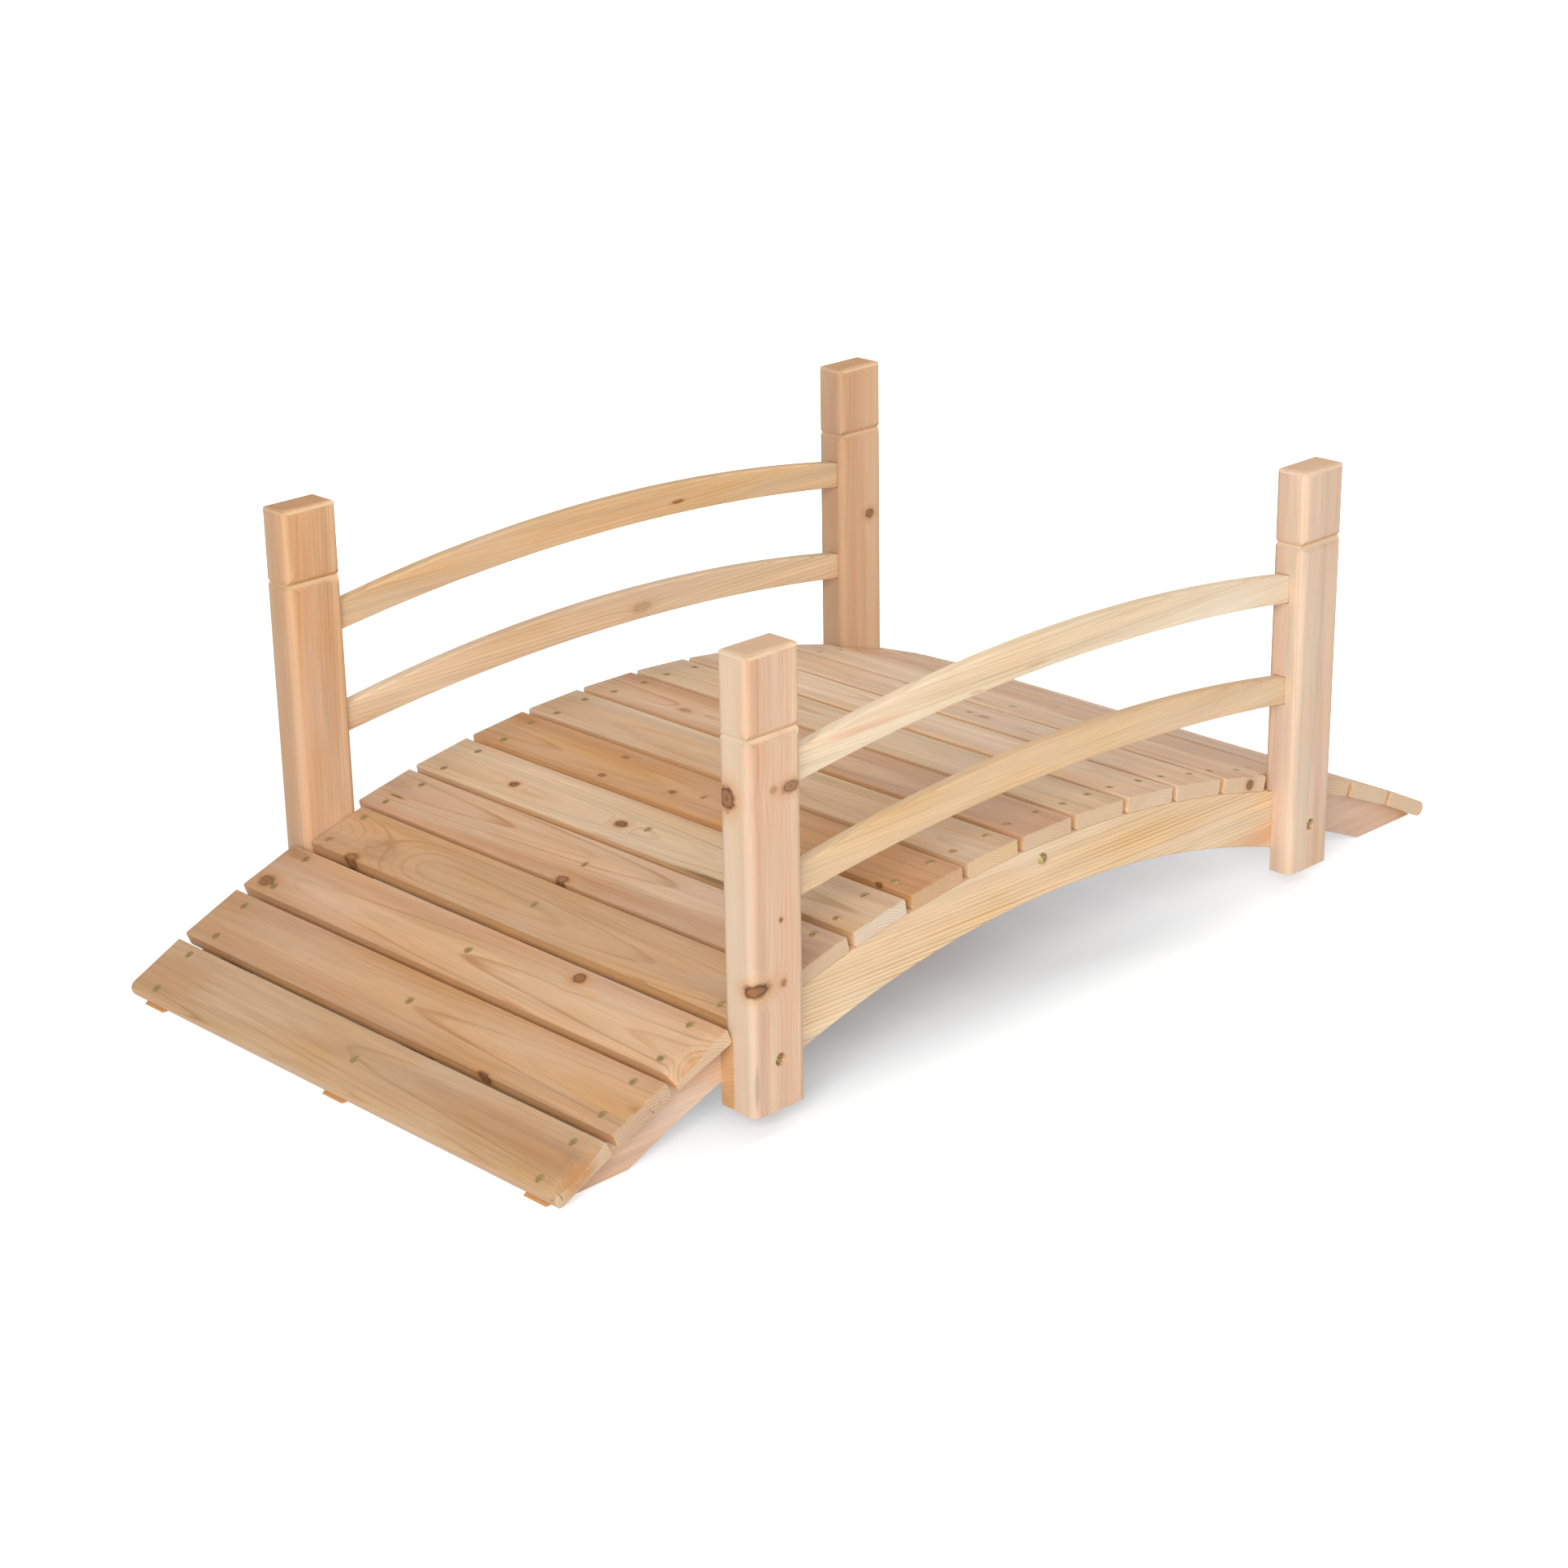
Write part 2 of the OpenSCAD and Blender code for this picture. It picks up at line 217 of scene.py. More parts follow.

    # Stains, and patches of painted light and shade, are uneven along the streaks and torn by the fibres at
    # their edge
    patchy = add(tree, "ShaderNodeMapRange", {"Value": streak.outputs["Fac"], "From Min": 0.3,
                 "From Max": 0.7, "To Min": 0.6, "To Max": 1.15})
    for x, y, z, across, along, through, share, tint in stains_and_painted_light:
        far = apart(x, y, z, across, along, through)
        torn = add(tree, "ShaderNodeMath", {0: fibre.outputs["Fac"], 1: 1.1, 2: far},
                   operation="MULTIPLY_ADD")
        spread = add(tree, "ShaderNodeMapRange", {"Value": torn, "From Min": 0.8, "From Max": 1.6,
                     "To Min": share, "To Max": 0.0}, interpolation_type="SMOOTHSTEP")
        soaked = add(tree, "ShaderNodeMath", {0: spread, 1: patchy}, operation="MULTIPLY")
        colour = add(tree, "ShaderNodeMix", {0: soaked, 6: colour, 7: linear(tint)},
                     data_type="RGBA").outputs[2]

    # A knot has a dark pith, brown rings, a black bark line and a reddish halo that fades out
    stops = ((0.0, "#3f2817", 1.0), (0.12, "#6b4324", 1.0), (0.24, "#94602f", 0.95),
             (0.32, "#8a5a2c", 1.0), (0.37, "#4d301a", 1.0), (0.43, "#99663a", 0.8),
             (0.56, "#c98f58", 0.45), (1.0, "#d6a26c", 0.0))
    halo_reach = 3.2
    for edge, depth in spots:
        out = add(tree, "ShaderNodeMath", {0: edge, 1: 1 / halo_reach}, operation="MULTIPLY")
        ramp = add(tree, "ShaderNodeValToRGB", {"Fac": out})
        while len(ramp.color_ramp.elements) < len(stops):
            ramp.color_ramp.elements.new(0.5)
        for element, (at, tint, solid) in zip(ramp.color_ramp.elements, stops):
            element.position = at
            element.color = linear(tint)[:3] + (solid,)
        share = add(tree, "ShaderNodeMath", {0: ramp.outputs["Alpha"], 1: depth}, operation="MULTIPLY")
        colour = add(tree, "ShaderNodeMix", {0: share, 6: colour, 7: ramp.outputs["Color"]},
                     data_type="RGBA").outputs[2]

    # Planed wood keeps the feel of its fibres; a sawn face has the saw's strokes across the grain
    relief = add(tree, "ShaderNodeMath", {0: line, 1: 0.5, 2: fibre.outputs["Fac"]},
                 operation="MULTIPLY_ADD")
    height = relief
    bump_height = 0.25 * MM
    if sawn:
        across_grain = add(tree, "ShaderNodeVectorMath", {0: own, 1: (1 / 40, 1 / 2.4, 1 / 40)},
                           operation="MULTIPLY")
        stroke = add(tree, "ShaderNodeTexNoise", {"Vector": across_grain, "Scale": 1.0, "Detail": 1.0})
        height = add(tree, "ShaderNodeMath", {0: stroke.outputs["Fac"], 1: sawn, 2: height},
                     operation="MULTIPLY_ADD")
    bump = add(tree, "ShaderNodeBump", {"Height": height, "Strength": 0.35, "Distance": bump_height})
    gloss = add(tree, "ShaderNodeMapRange", {"Value": fibre.outputs["Fac"], "From Min": 0.3,
                "From Max": 0.7, "To Min": 0.52, "To Max": 0.66})
    shader = add(tree, "ShaderNodeBsdfPrincipled", {"Base Color": colour, "Roughness": gloss,
                 "Normal": bump})
    add(tree, "ShaderNodeOutputMaterial", {"Surface": shader})
    return material


def softened(piece, width):
    """Joins a solid's loose triangles and breaks its sharp edges a little, as a sander does."""
    weld = piece.modifiers.new("join", "WELD")
    weld.merge_threshold = 0.01 * MM
    bevel = piece.modifiers.new("edges", "BEVEL")
    bevel.width = width
    bevel.segments = 2
    bevel.limit_method = "ANGLE"
    bevel.angle_limit = math.radians(35)
    normals = piece.modifiers.new("flats", "WEIGHTED_NORMAL")
    normals.weight = 80
    for face in piece.data.polygons:
        face.use_smooth = True


# Sawn fir: rosy and dull, with faint rings, the saw's strokes and orange noses
ALONG = turned((0, 0, 1), (1, 0, 0), (0, 1, 0))
stringer_fir = dict(early="#e6c8ae", late="#c89b7a", rosy="#dcb699", end="#c48445", ring=4.2, line=0.45,
                    band=40, sway=(22, 0, 14))
nose_stains = tuple((6, y, 0, 40, 24, 40, 0.95, "#d9a05c") for y in (-600, 600))
for k, side in enumerate(("left", "middle", "right")):
    stringer = nodes[side + "_stringer"]
    low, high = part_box(side + "_stringer")
    middle = (0, (low[1] + high[1]) / 2, 0)
    softened(stringer, 0.5 * MM)
    stringer.data.materials.clear()
    stringer.data.materials.append(softwood("Sawn fir, %s stringer" % side, middle, ALONG, (1, 0, 0),
                                            stringer_fir, (-160, 70), (0, 1.0), stains_and_painted_light=nose_stains,
                                            sawn=1.2, seed=31 + k))


# Arch boards: a yellower straight-grained plank on each side, sawn to a flatter curve below.
# They stand under the ends of the deck boards, let into the posts and bolted at mid-span.
# Planed pine: honey yellow, with straight even lines of late wood
arch_pine = dict(early="#f5dcb8", late="#cb9257", rosy="#f1cfa6", end="#c48f57", ring=4.0, line=0.9,
                 band=60, sway=(5, 0, 6))
arch_stains = {"right": ((60, 330, 0, 20, 110, 40, 0.65, "#dd9a68"),)}
for k, side in enumerate(("left", "right")):
    arch_board = nodes[side + "_arch_board"]
    low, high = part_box(side + "_arch_board")
    middle = (0, (low[1] + high[1]) / 2, 0)
    softened(arch_board, 0.5 * MM)
    arch_board.data.materials.clear()
    arch_board.data.materials.append(softwood("Planed pine, %s arch board" % side, middle, ALONG, (1, 0, 0),
                                              arch_pine, (-240, -120), (0, -1.2),
                                              stains_and_painted_light=arch_stains.get(side, ()), seed=41 + k))


# Posts: four uprights of knotty fir with well rounded edges and a V groove turned round them
# below the top. Each is rebated over the end of its arch board and held by a bolt.
# Planed fir: rosy, with faint lines and brown knots; the groove and rounded top carry painted light, paler
# facing up and tan facing down
UPRIGHT = turned((1, 0, 0), (0, 0, 1), (0, -1, 0))
post_fir = dict(early="#e4c3a5", late="#c5946f", rosy="#dab093", end="#dcb48c", ring=3.2, line=0.5,
                band=40, sway=(10, 0, 8), slope_light_and_shade=("#efd0ac", "#cf9f76"))
tan_fir = dict(post_fir, early="#e2bb94", late="#c19066", rosy="#d9aa83", end="#c99868",
               slope_light_and_shade=("#e9c69e", "#c0905f"))
light_fir = dict(post_fir, early="#e9caac", rosy="#e0b89b")
post_wood = {"front_left": tan_fir, "rear_left": tan_fir, "rear_right": light_fir}
post_knots = {
    "front_right": ((-31, 307, -7.5, 14, 10, 9, 1.0), (17, 311, 18.5, 9, 5, 12, 0.85),
                    (-3, 313, 18.5, 3.5, 3, 12, 0.5), (3, 195, 18.5, 2, 2, 9, 0.9),
                    (5, 137, 18.5, 3, 3, 9, 0.8), (-25, 138, 15.5, 13, 6, 8, 1.0)),
    "rear_left": ((11, 266, 18.5, 6, 5, 12, 0.9),),
}
post_stains_and_painted_light = {
    # Front right: the first patch pales the whole front face and its rounded corners, partly the wood's tone
    # and partly a painted highlight on the corners
    "front_right": ((-31.5, 220, 0, 13, 500, 34, 0.75, "#d6c1a8"),
                    (8, 220, 18.5, 17, 500, 9, 0.5, "#dcab8d"), (-27, 48, 17, 3, 26, 7, 0.5, "#8d7660"),
                    (31, 24, 18, 3, 14, 4, 0.5, "#8d7660")),
    # Front left: the first patch darkens the whole front face, partly the wood's tone and partly painted
    # shade; the second lays a pale band along the rounded front corner
    "front_left": ((-31.5, 220, -4, 12, 500, 20, 0.6, "#ad8664"),
                   (-27, 220, 15, 7, 500, 7, 0.6, "#e2bd94"), (10, 260, 18.5, 12, 160, 9, 0.4, "#c68c64"),
                   (6, 70, 18.5, 14, 60, 9, 0.4, "#e3b98f")),
    # Rear left: the whole front face darker and the whole outer face paler, partly the wood's tone and partly
    # painted light and shade
    "rear_left": ((-31.5, 220, 0, 14, 400, 40, 0.6, "#b09078"),
                  (4, 220, 18.5, 60, 400, 12, 0.55, "#e8c19c")),
}
for k, corner in enumerate(("front_left", "front_right", "rear_left", "rear_right")):
    post = nodes[corner + "_post"]
    low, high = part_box(corner + "_post")
    middle = ((low[0] + high[0]) / 2, (low[1] + high[1]) / 2, 0)
    softened(post, 0.4 * MM)
    post.data.materials.clear()
    post.data.materials.append(softwood("Planed fir, %s post" % corner.replace("_", " "), middle, UPRIGHT,
                                        (0, 0, 1), post_wood.get(corner, post_fir), (-60, 95), (0.8, 0.6),
                                        post_knots.get(corner, ()), post_stains_and_painted_light.get(corner, ()),
                                        seed=51 + k))


# Rails: two curved bars on each side, sawn from straight-grained pine and rounded along all
# four edges. Their ends stand in mortises in the posts.
# Planed pine: pale straw with soft lines, golden on the left side, a few rosy resin streaks
rail_pine = dict(early="#f6e0c0", late="#d2a473", rosy="#f2d4b0", end="#c99761", ring=3.4, line=0.55,
                 band=50, sway=(8, 0, 8))
gold_pine = dict(rail_pine, early="#ebcea6", late="#ca9a66", rosy="#e3be92")
soft_pine = dict(rail_pine, early="#ebcca4", rosy="#e4be92")
rosy_pine = dict(gold_pine, early="#eed2b0", rosy="#e6c29c")
rail_wood = {"left_upper": gold_pine, "left_lower": rosy_pine, "right_lower": soft_pine}
rail_knots = {"left_upper": ((37, 103, -7, 1.6, 7, 9, 0.9),),
              "left_lower": ((-66, 48, -7, 5, 12, 9, 0.35),)}
rail_stains = {"right_upper": ((31, -250, -7, 4, 70, 6, 0.5, "#dd9c74"),
                               (33, -30, -7, 3, 20, 6, 0.6, "#cf8a63"),
                               (27, -110, -7, 2, 12, 5, 0.6, "#d0905f"))}


def open_tree(name, numbers, finish, result, seats=None):
    """A geometry tree with named inputs, and each input's identifier and socket by its name."""
    tree = bpy.data.node_groups.new(name, "GeometryNodeTree")
    face = tree.interface
    if seats:
        face.new_socket(name=seats, in_out="INPUT", socket_type="NodeSocketGeometry")
    sizes = {}
    for kind, labels in (("NodeSocketFloat", numbers), ("NodeSocketMaterial", (finish,))):
        for label in labels:
            sizes[label] = face.new_socket(name=label, in_out="INPUT", socket_type=kind).identifier
    face.new_socket(name=result, in_out="OUTPUT", socket_type="NodeSocketGeometry")
    return tree, sizes, add(tree, "NodeGroupInput").outputs


def close_tree(tree, shape, finish):
    """Ends a tree in one real mesh with its material."""
    real = add(tree, "GeometryNodeRealizeInstances", {0: shape})
    painted = add(tree, "GeometryNodeSetMaterial", {"Geometry": real, "Material": finish})
    add(tree, "NodeGroupOutput", {0: painted})


def rail_tree():
    """A rounded bar swept along X and bent between two arcs, one for each edge."""
    numbers = ("Length", "Depth", "Thickness", "Rounding", "Crest", "Top radius", "Low radius", "Side")
    tree, sizes, given = open_tree("Sawn rail", numbers, "Wood", "Rail")
    outline = add(tree, "GeometryNodeCurvePrimitiveQuadrilateral", {"Width": given["Thickness"],
                  "Height": given["Depth"]})
    rounded = add(tree, "GeometryNodeFilletCurve", {"Curve": outline, "Count": 6,
                  "Radius": given["Rounding"], "Limit Radius": True}, mode="POLY")
    half = add(tree, "ShaderNodeMath", {0: given["Length"], 1: 0.5}, operation="MULTIPLY")
    back = add(tree, "ShaderNodeMath", {0: half, 1: -1.0}, operation="MULTIPLY")
    start = add(tree, "ShaderNodeCombineXYZ", {"X": back})
    stop = add(tree, "ShaderNodeCombineXYZ", {"X": half})
    line = add(tree, "GeometryNodeCurvePrimitiveLine", {"Start": start, "End": stop})
    steps = add(tree, "GeometryNodeResampleCurve", {"Curve": line, "Count": 97})
    bar = add(tree, "GeometryNodeCurveToMesh", {"Curve": steps,
              "Profile Curve": rounded, "Fill Caps": True})
    at = add(tree, "ShaderNodeSeparateXYZ", {0: add(tree, "GeometryNodeInputPosition")}).outputs
    edges = []
    for radius, below in (("Low radius", given["Depth"]), ("Top radius", 0.0)):
        x_square = add(tree, "ShaderNodeMath", {0: at["X"], 1: at["X"]}, operation="MULTIPLY")
        r_square = add(tree, "ShaderNodeMath", {0: given[radius], 1: given[radius]}, operation="MULTIPLY")
        inside = add(tree, "ShaderNodeMath", {0: r_square, 1: x_square}, operation="SUBTRACT")
        root = add(tree, "ShaderNodeMath", {0: inside}, operation="SQRT")
        drop = add(tree, "ShaderNodeMath", {0: given[radius], 1: root}, operation="SUBTRACT")
        total = add(tree, "ShaderNodeMath", {0: drop, 1: below}, operation="ADD")
        edges.append(add(tree, "ShaderNodeMath", {0: given["Crest"], 1: total},
                         operation="SUBTRACT").outputs[0])
    share = add(tree, "ShaderNodeMath", {0: at["Z"], 1: given["Depth"]}, operation="DIVIDE")
    part = add(tree, "ShaderNodeMath", {0: share, 1: 0.5}, operation="ADD")
    deep = add(tree, "ShaderNodeMath", {0: edges[1], 1: edges[0]}, operation="SUBTRACT")
    level = add(tree, "ShaderNodeMath", {0: part, 1: deep, 2: edges[0]}, operation="MULTIPLY_ADD")
    across = add(tree, "ShaderNodeMath", {0: at["Y"], 1: given["Side"]}, operation="ADD")
    to = add(tree, "ShaderNodeCombineXYZ", {"X": at["X"], "Y": across, "Z": level})
    placed = add(tree, "GeometryNodeSetPosition", {"Geometry": bar, "Position": to})
    close_tree(tree, placed, given["Wood"])
    return tree, sizes


def grown_mesh(name, seeds, tree, sizes, values, axes=(), smooth=True):
    """Runs a geometry tree on points, each with its axis if given, and keeps a plain mesh."""
    source = bpy.data.meshes.new(name)
    source.from_pydata(seeds, [], [])
    if axes:
        marks = source.attributes.new("axis", "FLOAT_VECTOR", "POINT")
        for mark, axis in zip(marks.data, axes):
            mark.vector = axis
    piece = bpy.data.objects.new(name, source)
    bpy.context.scene.collection.objects.link(piece)
    grower = piece.modifiers.new(name, "NODES")
    grower.node_group = tree
    for label, value in values.items():
        grower[sizes[label]] = value
    shot = piece.evaluated_get(bpy.context.evaluated_depsgraph_get())
    made = bpy.data.meshes.new_from_object(shot)
    piece.modifiers.remove(grower)
    piece.data = made
    made.name = name
    if smooth:
        for polygon in made.polygons:
            polygon.use_smooth = True
    return piece


rail_maker, rail_size = rail_tree()
rail_length = 708 * MM
rail_depth = 33 * MM
rail_thick = 13.5 * MM
rail_rounding = 2.2 * MM
rail_step = 104 * MM
rail_crest = 359 * MM
rail_top_radius = 2040 * MM
rail_low_radius = 2470 * MM
for k, side in enumerate(("left", "right")):
    for j, level in enumerate(("upper", "lower")):
        which = side + "_" + level
        label = which + "_rail"
        low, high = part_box(label)
        centre = (low[1] + high[1]) / 2
        wood = softwood("Planed pine, %s %s rail" % (side, level), (0, centre, 0.3), ALONG, (1, 0, 0),
                        rail_wood.get(which, rail_pine), (-150, 60), (0, 0.6),
                        rail_knots.get(which, ()), rail_stains.get(which, ()), seed=61 + 2 * k + j)
        rail = grown_mesh(label + "_sawn", [(0, 0, 0)], rail_maker, rail_size, {
            "Length": rail_length, "Depth": rail_depth, "Thickness": rail_thick,
            "Rounding": rail_rounding, "Crest": rail_crest - j * rail_step,
            "Top radius": rail_top_radius, "Low radius": rail_low_radius, "Side": centre, "Wood": wood})
        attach(rail, "root")
        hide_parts(label)


# Deck boards: seventeen planed fir boards laid across the stringers, with rounded long edges
# and sawn ends. Each is held by two countersunk screws at each end and one in the middle.
board_count = 17
crest_board = 9
board_width = 67 * MM
board_gap = 7 * MM
board_thick = 16 * MM
upper_rounding = 1.8 * MM
lower_rounding = 2.5 * MM
step_rounding = 7.5 * MM
end_easing = 0.7 * MM
board_waver = 0.7 * MM
seat_radius = 1294 * MM
seat_crest = 149.5 * MM
step_angle = (board_width + board_gap) / seat_radius
full_length = 608 * MM
post_length = 582 * MM
post_boards = {4: 3 * MM, 14: -3 * MM}
screw_row = 272 * MM
screw_pair = 21 * MM
sink_radius = 4.7 * MM
sink_depth = 1.0 * MM
dice = random.Random(4)


def board_place(number):
    """The frame of a board: middle of its underside, X along the walkway, Z square to the deck."""
    angle = (number - crest_board) * step_angle
    shift = post_boards.get(number, 0.0)
    x = seat_radius * math.sin(angle) + shift * math.cos(angle)
    z = seat_crest - seat_radius + seat_radius * math.cos(angle) - shift * math.sin(angle)
    return Matrix.Translation((x, 0, z)) @ Matrix.Rotation(angle, 4, "Y")


def board_tree():
    """A rounded board along Y with eased ends and a countersink at each point it is given."""
    numbers = ("Width", "Thickness", "Length", "Upper rounding", "Lower rounding", "Front rounding",
               "Rear rounding", "End easing", "Wane", "Wane place", "Wane width", "Wane reach",
               "Waver", "Seed", "Sink radius", "Sink depth")
    tree, sizes, given = open_tree("Deck board", numbers, "Wood", "Board", seats="Screw seats")
    position = add(tree, "GeometryNodeInputPosition").outputs[0]
    at = add(tree, "ShaderNodeSeparateXYZ", {0: position}).outputs

    # The cross-section: each corner has its own rounding; the sweep turns the drawing's top down
    outline = add(tree, "GeometryNodeCurvePrimitiveQuadrilateral", {"Width": given["Width"],
                  "Height": given["Thickness"]})
    above = add(tree, "ShaderNodeMath", {0: at["Y"], 1: 0.0}, operation="LESS_THAN")
    usual = add(tree, "ShaderNodeMix", {0: above, 2: given["Lower rounding"], 3: given["Upper rounding"]})
    rear = add(tree, "ShaderNodeMath", {0: at["X"], 1: 0.0}, operation="GREATER_THAN")
    nose = add(tree, "ShaderNodeMix", {0: rear, 2: given["Front rounding"], 3: given["Rear rounding"]})
    upper = add(tree, "ShaderNodeMath", {0: above, 1: 0.1, 2: 0.9}, operation="MULTIPLY_ADD")
    bold = add(tree, "ShaderNodeMath", {0: nose, 1: upper}, operation="MULTIPLY")
    rounding = add(tree, "ShaderNodeMath", {0: usual, 1: bold}, operation="MAXIMUM")
    corners = add(tree, "GeometryNodeFilletCurve", {"Curve": outline, "Count": 6,
                  "Radius": rounding, "Limit Radius": True}, mode="POLY")
    rounded = add(tree, "GeometryNodeSubdivideCurve", {"Curve": corners, "Cuts": 3})

    # Stations along the board, closer together toward its ends
    half = add(tree, "ShaderNodeMath", {0: given["Length"], 1: 0.5}, operation="MULTIPLY")
    start = add(tree, "ShaderNodeCombineXYZ", {"Y": -math.pi / 2})
    stop = add(tree, "ShaderNodeCombineXYZ", {"Y": math.pi / 2})
    line = add(tree, "GeometryNodeCurvePrimitiveLine", {"Start": start, "End": stop})
    steps = add(tree, "GeometryNodeResampleCurve", {"Curve": line, "Count": 49})
    sine = add(tree, "ShaderNodeMath", {0: at["Y"]}, operation="SINE")
    station = add(tree, "ShaderNodeMath", {0: sine, 1: half}, operation="MULTIPLY")
    spread = add(tree, "GeometryNodeSetPosition", {"Geometry": steps,
                 "Position": add(tree, "ShaderNodeCombineXYZ", {"Y": station}).outputs[0]})
    bar = add(tree, "GeometryNodeCurveToMesh", {"Curve": spread,
              "Profile Curve": rounded, "Fill Caps": True})

    # The last station of each end is drawn in, which breaks the sawn edge
    past = add(tree, "ShaderNodeMath", {0: add(tree, "ShaderNodeMath", {0: at["Y"]},
               operation="ABSOLUTE").outputs[0], 1: half}, operation="DIVIDE")
    is_end = add(tree, "ShaderNodeMath", {0: past, 1: 0.9999}, operation="GREATER_THAN")
    shrink = []
    for name in ("Width", "Thickness"):
        ratio = add(tree, "ShaderNodeMath", {0: given["End easing"], 1: given[name]}, operation="DIVIDE")
        twice = add(tree, "ShaderNodeMath", {0: ratio, 1: -2.0, 2: 1.0}, operation="MULTIPLY_ADD")
        shrink.append(twice)
    factor = add(tree, "ShaderNodeCombineXYZ", {"X": shrink[0], "Y": 1.0, "Z": shrink[1]})
    drawn = add(tree, "ShaderNodeVectorMath", {0: position, 1: factor}, operation="MULTIPLY")
    eased = add(tree, "GeometryNodeSetPosition", {"Geometry": bar, "Selection": is_end,
                "Position": drawn})

    # Planed timber is never quite true: a slow waver, in waves of about 56 mm across and 143 mm
    # along, and a scooped wane on the upper right end
    slow = add(tree, "ShaderNodeVectorMath", {0: position, 1: (18, 7, 18)}, operation="MULTIPLY")
    noise = add(tree, "ShaderNodeTexNoise", {"Vector": slow, "W": given["Seed"], "Scale": 1.0,
                "Detail": 2.0}, noise_dimensions="4D")
    centred = add(tree, "ShaderNodeVectorMath", {0: noise.outputs["Color"], 1: (0.5, 0.5, 0.5)},
                  operation="SUBTRACT")
    sized = add(tree, "ShaderNodeVectorMath", {0: centred, 3: given["Waver"]}, operation="SCALE")
    flat = add(tree, "ShaderNodeVectorMath", {0: sized, 1: (1, 0, 1)}, operation="MULTIPLY")
    back = add(tree, "ShaderNodeMath", {0: half, 1: -1.0}, operation="MULTIPLY")
    inner = add(tree, "ShaderNodeMath", {0: back, 1: given["Wane reach"]}, operation="ADD")
    toward = add(tree, "ShaderNodeMapRange", {"Value": at["Y"], "From Min": inner,
                 "From Max": back}, interpolation_type="SMOOTHSTEP")
    top = add(tree, "ShaderNodeMapRange", {"Value": at["Z"], "From Min": -6 * MM, "From Max": 7 * MM})
    aside = add(tree, "ShaderNodeMath", {0: at["X"], 1: given["Wane place"]}, operation="SUBTRACT")
    middle = add(tree, "ShaderNodeMath", {0: aside, 1: given["Wane width"]}, operation="DIVIDE")
    bow = add(tree, "ShaderNodeMath", {0: middle, 1: middle}, operation="MULTIPLY")
    drop = add(tree, "ShaderNodeMath", {0: bow, 1: -1.0}, operation="MULTIPLY")
    arch = add(tree, "ShaderNodeMath", {0: drop}, operation="EXPONENT")
    scoop = add(tree, "ShaderNodeMath", {0: toward, 1: top}, operation="MULTIPLY")
    shaped = add(tree, "ShaderNodeMath", {0: scoop, 1: arch}, operation="MULTIPLY")
    sunk = add(tree, "ShaderNodeMath", {0: shaped, 1: given["Wane"]}, operation="MULTIPLY")
    down = add(tree, "ShaderNodeCombineXYZ", {"Z": add(tree, "ShaderNodeMath", {0: sunk, 1: -1.0},
               operation="MULTIPLY").outputs[0]})
    moved = add(tree, "ShaderNodeVectorMath", {0: flat, 1: down}, operation="ADD")
    worn = add(tree, "GeometryNodeSetPosition", {"Geometry": eased, "Offset": moved})

    # Countersinks for the screws
    bit = add(tree, "GeometryNodeMeshCylinder", {"Vertices": 20, "Radius": given["Sink radius"],
              "Depth": add(tree, "ShaderNodeMath", {0: given["Sink depth"], 1: 2.0},
                           operation="MULTIPLY").outputs[0]})
    bits = add(tree, "GeometryNodeInstanceOnPoints", {"Points": given["Screw seats"],
               "Instance": bit.outputs["Mesh"]})
    holes = add(tree, "GeometryNodeRealizeInstances", {0: bits})
    sunk_board = add(tree, "GeometryNodeMeshBoolean", {"Mesh 1": worn,
                     "Mesh 2": holes}, operation="DIFFERENCE")
    close_tree(tree, sunk_board, given["Wood"])
    return tree, sizes


# Planed fir, each board from another tree: tan to pale straw, with thin arches of late wood
plain_fir = dict(early="#d6b291", late="#b08059", rosy="#c69874", end="#e2c6a4", ring=2.6, line=0.8,
                 fine=0.62, band=26, sway=(12, 0, 9))
pale_fir = dict(plain_fir, early="#e0c5a4", late="#bd946c", rosy="#d5b18d", end="#ead8c2")
eighth_fir = dict(pale_fir, end="#eac797")
ninth_fir = dict(plain_fir, early="#dcb896", late="#b4855f", rosy="#cfa27f")
# The far boards, tenth to seventeenth, are paler: partly their own tone and partly painted light that makes
# up for the dimmer light at the back and the rails' shade
far_fir = dict(plain_fir, early="#eed0b0", late="#cba27a", rosy="#e7c3a2")
tenth_fir = dict(far_fir, early="#e0c19e", rosy="#d5b08b")
cool_fir = dict(plain_fir, early="#e6c5a4", late="#c0936c", rosy="#dcb290")
warm_fir = dict(plain_fir, early="#d6ae84", late="#b08056", rosy="#cb9a6f", end="#d9b28a")
first_fir = dict(plain_fir, early="#caa680", late="#a97d56", rosy="#b5845a")
second_fir = dict(plain_fir, early="#cea47b", late="#a7774f", rosy="#bf8d63", end="#d4b79b")
third_fir = dict(plain_fir, early="#dab48e", late="#b28259", rosy="#cb9b73")
fourth_fir = dict(plain_fir, early="#caa178", late="#a87a52", rosy="#be8f67")
board_fir = {1: first_fir, 2: second_fir, 3: third_fir, 4: fourth_fir, 6: pale_fir, 7: warm_fir,
             8: eighth_fir, 9: ninth_fir, 10: tenth_fir, 11: far_fir, 12: far_fir, 13: far_fir,
             14: cool_fir, 15: cool_fir, 16: cool_fir, 17: cool_fir}
